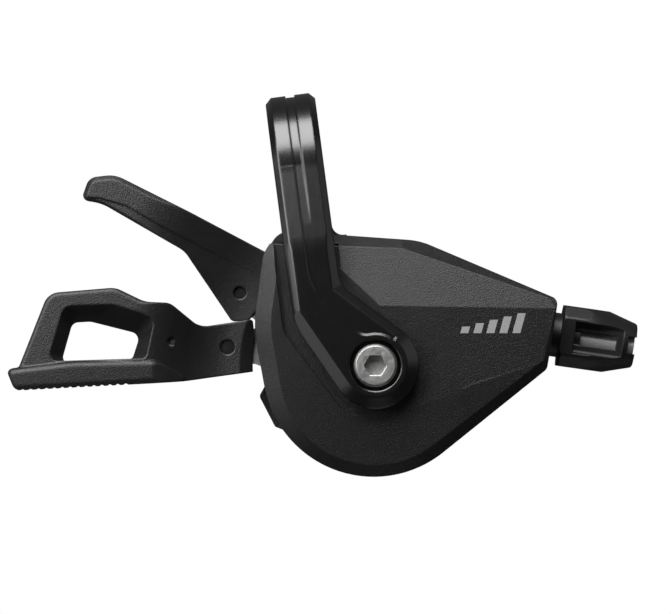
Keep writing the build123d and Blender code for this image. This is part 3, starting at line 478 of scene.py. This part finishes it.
class SHIFTER_OT_metal_finish(bpy.types.Operator):
    """Give the bolt, the mechanism and the fasteners their finishes"""

    bl_idname = "shifter.metal_finish"
    bl_label = "Metal Finish"

    def execute(self, context):
        look = context.scene.shifter_finish
        zinc = metal(
            "bolt_zinc",
            colour=(0.6, 0.6, 0.59),
            roughness=0.42,
            streak_size=0.0007,
            streak_height=0.00004,
            edge_radius=0.0002,
        )
        dress(zinc, "clamp_bolt")
        bronze = metal(
            "bush_bronze",
            colour=(0.5, 0.33, 0.16),
            roughness=0.4,
            streak_size=0.0004,
            streak_height=0.00001,
            edge_radius=0.0001,
        )
        dress(bronze, "main_lever_bush", "release_lever_bush")
        steel = metal(
            "pressed_steel",
            colour=(0.42, 0.42, 0.43),
            roughness=0.38,
            streak_size=0.0005,
            streak_height=0.00001,
            edge_radius=0.0001,
        )
        dress(
            steel,
            "main_axle",
            "axle_circlip",
            "base_plate",
            "index_ratchet",
            "wind_ratchet",
            "main_lever_plate",
            "release_lever_plate",
            "feed_pawl",
            "feed_pawl_pin",
            "holding_pawl",
            "holding_pawl_pin",
            "main_return_spring",
            "release_return_spring",
            "drum_spring",
            "cover_screws",
            "band_screw",
        )
        black_steel = metal(
            "rivet_steel",
            colour=(0.03, 0.03, 0.03),
            roughness=0.45,
            streak_size=0.0005,
            streak_height=0.00001,
            edge_radius=0.0001,
        )
        dress(black_steel, "main_lever_rivet", "release_lever_rivet")
        drum = moulded_plastic(
            "drum_resin",
            colour=(0.3, 0.3, 0.29),
            roughness=0.5,
            grain_size=look.grain_size,
            grain_height=look.grain_height / DRUM_FLATTER,
            edge_radius=look.edge_radius,
        )
        dress(drum, "cable_drum")
        return {"FINISHED"}


class SHIFTER_OT_printed_bars(bpy.types.Operator):
    """Print a row of rising, leaning bars on the case's face"""

    bl_idname = "shifter.printed_bars"
    bl_label = "Printed Bars"

    def add_bar(self, name, place, width, height, lean, film):
        """One bar of ink, a block with its top pushed over and its corners rounded."""
        bpy.ops.object.select_all(action="DESELECT")
        bpy.ops.mesh.primitive_cube_add(size=1, location=(0, 0, 0))
        bar = bpy.context.object
        bar.name = name
        bpy.ops.object.mode_set(mode="EDIT")
        bpy.ops.mesh.select_all(action="SELECT")
        # Half a cube right, out and up, so that a lower corner on the face is the bar's place
        bpy.ops.transform.translate(value=(0.5, -0.5, 0.5))
        bpy.ops.transform.resize(value=(width, film, height), center_override=(0, 0, 0))
        bpy.ops.mesh.select_all(action="DESELECT")
        bpy.ops.object.mode_set(mode="OBJECT")
        for vertex in bar.data.vertices:
            vertex.select = vertex.co.z > height / 2
        bpy.ops.object.mode_set(mode="EDIT")
        bpy.ops.transform.translate(value=(lean, 0, 0))
        bpy.ops.mesh.select_all(action="SELECT")
        bpy.ops.transform.rotate(value=-CASE_TILT, orient_axis="Y", center_override=(0, 0, 0))
        bpy.ops.transform.translate(value=place)
        bpy.ops.object.mode_set(mode="OBJECT")
        bevel = bar.modifiers.new("round corners", "BEVEL")
        bevel.width = film / INK_CORNER
        bevel.segments = INK_CORNER_STEPS
        bevel.limit_method = "ANGLE"
        bpy.ops.object.modifier_apply(modifier=bevel.name)
        return bar

    def new_ink(self, colour):
        """Ink with a fine speckle in its colour and sheen."""
        ink, shader, coords = new_material("printed_ink")
        speckle = add_noise(ink, coords, INK_SPECKLES, INK_DETAIL)
        shade = add_colour_mix(
            ink, speckle.outputs["Fac"], tint(colour, INK_DARK), tint(colour, INK_LIGHT)
        )
        link(ink, shade.outputs["Result"], shader.inputs["Base Color"])
        sheen = add_range(
            ink, speckle.outputs["Fac"], NOISE_LOW, NOISE_HIGH, INK_SMOOTH, INK_ROUGH
        )
        link(ink, sheen.outputs["Result"], shader.inputs["Roughness"])
        return ink

    def execute(self, context):
        bars = context.scene.shifter_bars
        ink = self.new_ink(bars.colour)
        for index in range(bars.count):
            # The first bar is two steps high, and each next one a step higher
            share = (index + 2) / (bars.count + 1)
            place = on_case(*bars.place, FACE_DEPTH) + CASE_RIGHT * bars.pitch * index
            bar = self.add_bar(
                f"printed_bar_{index + 1}",
                place,
                bars.width,
                bars.height * share,
                bars.lean * share,
                bars.film,
            )
            bar.data.materials.append(ink)
            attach(bar, "case")
        return {"FINISHED"}


class SHIFTER_OT_stage(bpy.types.Operator):
    """Add the floor, the lights, the backdrop colour and the camera"""

    bl_idname = "shifter.stage"
    bl_label = "Stage"

    def add_light(self, name, place, target, size, power):
        """A square soft light that looks at a point."""
        bpy.ops.object.light_add(type="AREA", location=place)
        light = bpy.context.object
        light.name = name
        light.data.size = size
        light.data.energy = power
        light.visible_camera = False
        light.rotation_euler = (target - place).to_track_quat("-Z", "Y").to_euler()

    def add_floor(self, stage, middle):
        """A sheet of pale paper below the shifter, which the camera sees as white."""
        bpy.ops.object.select_all(action="DESELECT")
        height = CAD_BOX[0][2] - stage.floor_drop
        bpy.ops.mesh.primitive_plane_add(size=stage.floor_size, location=(middle.x, 0, height))
        floor = bpy.context.object
        floor.name = "studio_floor"
        paper, shader, coords = new_material("floor_paper")
        fibres = add_noise(paper, coords, PAPER_FIBRES, PAPER_DETAIL)
        shade = add_colour_mix(paper, fibres.outputs["Fac"], PAPER_DARK, PAPER_LIGHT)
        link(paper, shade.outputs["Result"], shader.inputs["Base Color"])
        shader.inputs["Roughness"].default_value = PAPER_ROUGHNESS
        path = paper.node_tree.nodes.new("ShaderNodeLightPath")
        glow = add_range(paper, path.outputs["Is Camera Ray"], 0, 1, 0, stage.floor_glow)
        shader.inputs["Emission Color"].default_value = WHITE
        link(paper, glow.outputs["Result"], shader.inputs["Emission Strength"])
        floor.data.materials.append(paper)

    def add_world(self, stage):
        """White to the camera, a dim backdrop in reflections and a dim light all round."""
        world = bpy.data.worlds.new("studio_world")
        bpy.context.scene.world = world
        world.use_nodes = True
        nodes = world.node_tree.nodes
        join = world.node_tree.links.new
        coords = nodes.new("ShaderNodeTexCoord")
        nearness = nodes.new("ShaderNodeVectorMath")
        nearness.operation = "DOT_PRODUCT"
        nearness.inputs[1].default_value = BACKDROP_WAY
        join(coords.outputs["Generated"], nearness.inputs[0])
        backdrop = nodes.new("ShaderNodeMapRange")
        backdrop.inputs["From Min"].default_value = BACKDROP_BEGINS
        backdrop.inputs["From Max"].default_value = BACKDROP_FULL
        backdrop.inputs["To Min"].default_value = ROOM_SHARE * stage.ambient
        backdrop.inputs["To Max"].default_value = BACKDROP_STRENGTH
        join(nearness.outputs["Value"], backdrop.inputs["Value"])
        path = nodes.new("ShaderNodeLightPath")
        mirrored = nodes.new("ShaderNodeMath")
        mirrored.operation = "MAXIMUM"
        join(path.outputs["Is Glossy Ray"], mirrored.inputs[0])
        join(path.outputs["Is Transmission Ray"], mirrored.inputs[1])
        seen = nodes.new("ShaderNodeMix")
        seen.inputs["A"].default_value = stage.ambient
        join(mirrored.outputs["Value"], seen.inputs["Factor"])
        join(backdrop.outputs["Result"], seen.inputs["B"])
        strength = nodes.new("ShaderNodeMix")
        strength.inputs["B"].default_value = 1
        join(path.outputs["Is Camera Ray"], strength.inputs["Factor"])
        join(seen.outputs["Result"], strength.inputs["A"])
        background = nodes["Background"]
        background.inputs["Color"].default_value = WHITE
        join(strength.outputs["Result"], background.inputs["Strength"])

    def add_camera(self, stage):
        """The camera, square to the case's face and turned with the case."""
        place = on_case(*stage.view_centre, FACE_DEPTH) + CASE_OUT * stage.camera_distance
        bpy.ops.object.camera_add(location=place, rotation=(math.pi / 2, CASE_TILT, 0))
        camera = bpy.context.object
        camera.name = "photo_camera"
        camera.data.sensor_width = SENSOR_WIDTH
        camera.data.lens = SENSOR_WIDTH * stage.camera_distance / stage.view_width
        camera.data.clip_start = NEAREST
        bpy.context.scene.camera = camera

    def execute(self, context):
        stage = context.scene.shifter_stage
        context.scene.view_settings.view_transform = "Standard"
        self.add_floor(stage, on_case(*stage.view_centre, 0))
        for name, place, target, size, power in (
            ("key_light", KEY_PLACE, CASE_MIDDLE, KEY_SIZE, stage.key_power),
            ("fill_light", FILL_PLACE, PADDLE_MIDDLE, FILL_SIZE, stage.fill_power),
            ("side_light", SIDE_PLACE, CASE_MIDDLE, SIDE_SIZE, stage.side_power),
            ("edge_light", EDGE_PLACE, CASE_MIDDLE, EDGE_SIZE, stage.edge_power),
        ):
            self.add_light(name, on_case(*place), on_case(*target), size, power)
        self.add_world(stage)
        self.add_camera(stage)
        return {"FINISHED"}


class SHIFTER_PT_panel(bpy.types.Panel):
    """Sidebar panel with the shifter's steps and settings"""

    bl_idname = "SHIFTER_PT_panel"
    bl_label = "Trigger Shifter"
    bl_space_type = "VIEW_3D"
    bl_region_type = "UI"
    bl_category = "Shifter"

    def draw(self, context):
        for step in STEPS:
            self.layout.operator(step.bl_idname)
        for settings in (
            context.scene.shifter_finish,
            context.scene.shifter_bars,
            context.scene.shifter_stage,
        ):
            box = self.layout.box()
            for name in settings.__annotations__:
                box.prop(settings, name)


STEPS = (
    SHIFTER_OT_case_finish,
    SHIFTER_OT_lever_finish,
    SHIFTER_OT_clamp_finish,
    SHIFTER_OT_adjuster_finish,
    SHIFTER_OT_metal_finish,
    SHIFTER_OT_printed_bars,
    SHIFTER_OT_stage,
)
CLASSES = (
    ShifterFinishSettings,
    ShifterBarsSettings,
    ShifterStageSettings,
    *STEPS,
    SHIFTER_PT_panel,
)


def register():
    """Registers the classes and hangs their settings on the scene."""
    for cls in CLASSES:
        bpy.utils.register_class(cls)
    bpy.types.Scene.shifter_finish = bpy.props.PointerProperty(type=ShifterFinishSettings)
    bpy.types.Scene.shifter_bars = bpy.props.PointerProperty(type=ShifterBarsSettings)
    bpy.types.Scene.shifter_stage = bpy.props.PointerProperty(type=ShifterStageSettings)


def unregister():
    """Removes the settings and the classes again."""
    del bpy.types.Scene.shifter_stage
    del bpy.types.Scene.shifter_bars
    del bpy.types.Scene.shifter_finish
    for cls in reversed(CLASSES):
        bpy.utils.unregister_class(cls)


def main():
    """Registers the steps, dresses the shifter and sets its stage."""
    register()
    bpy.ops.shifter.case_finish()
    bpy.ops.shifter.lever_finish()
    bpy.ops.shifter.clamp_finish()
    bpy.ops.shifter.adjuster_finish()
    bpy.ops.shifter.metal_finish()
    bpy.ops.shifter.printed_bars()
    bpy.ops.shifter.stage()


if __name__ == "__main__":
    main()
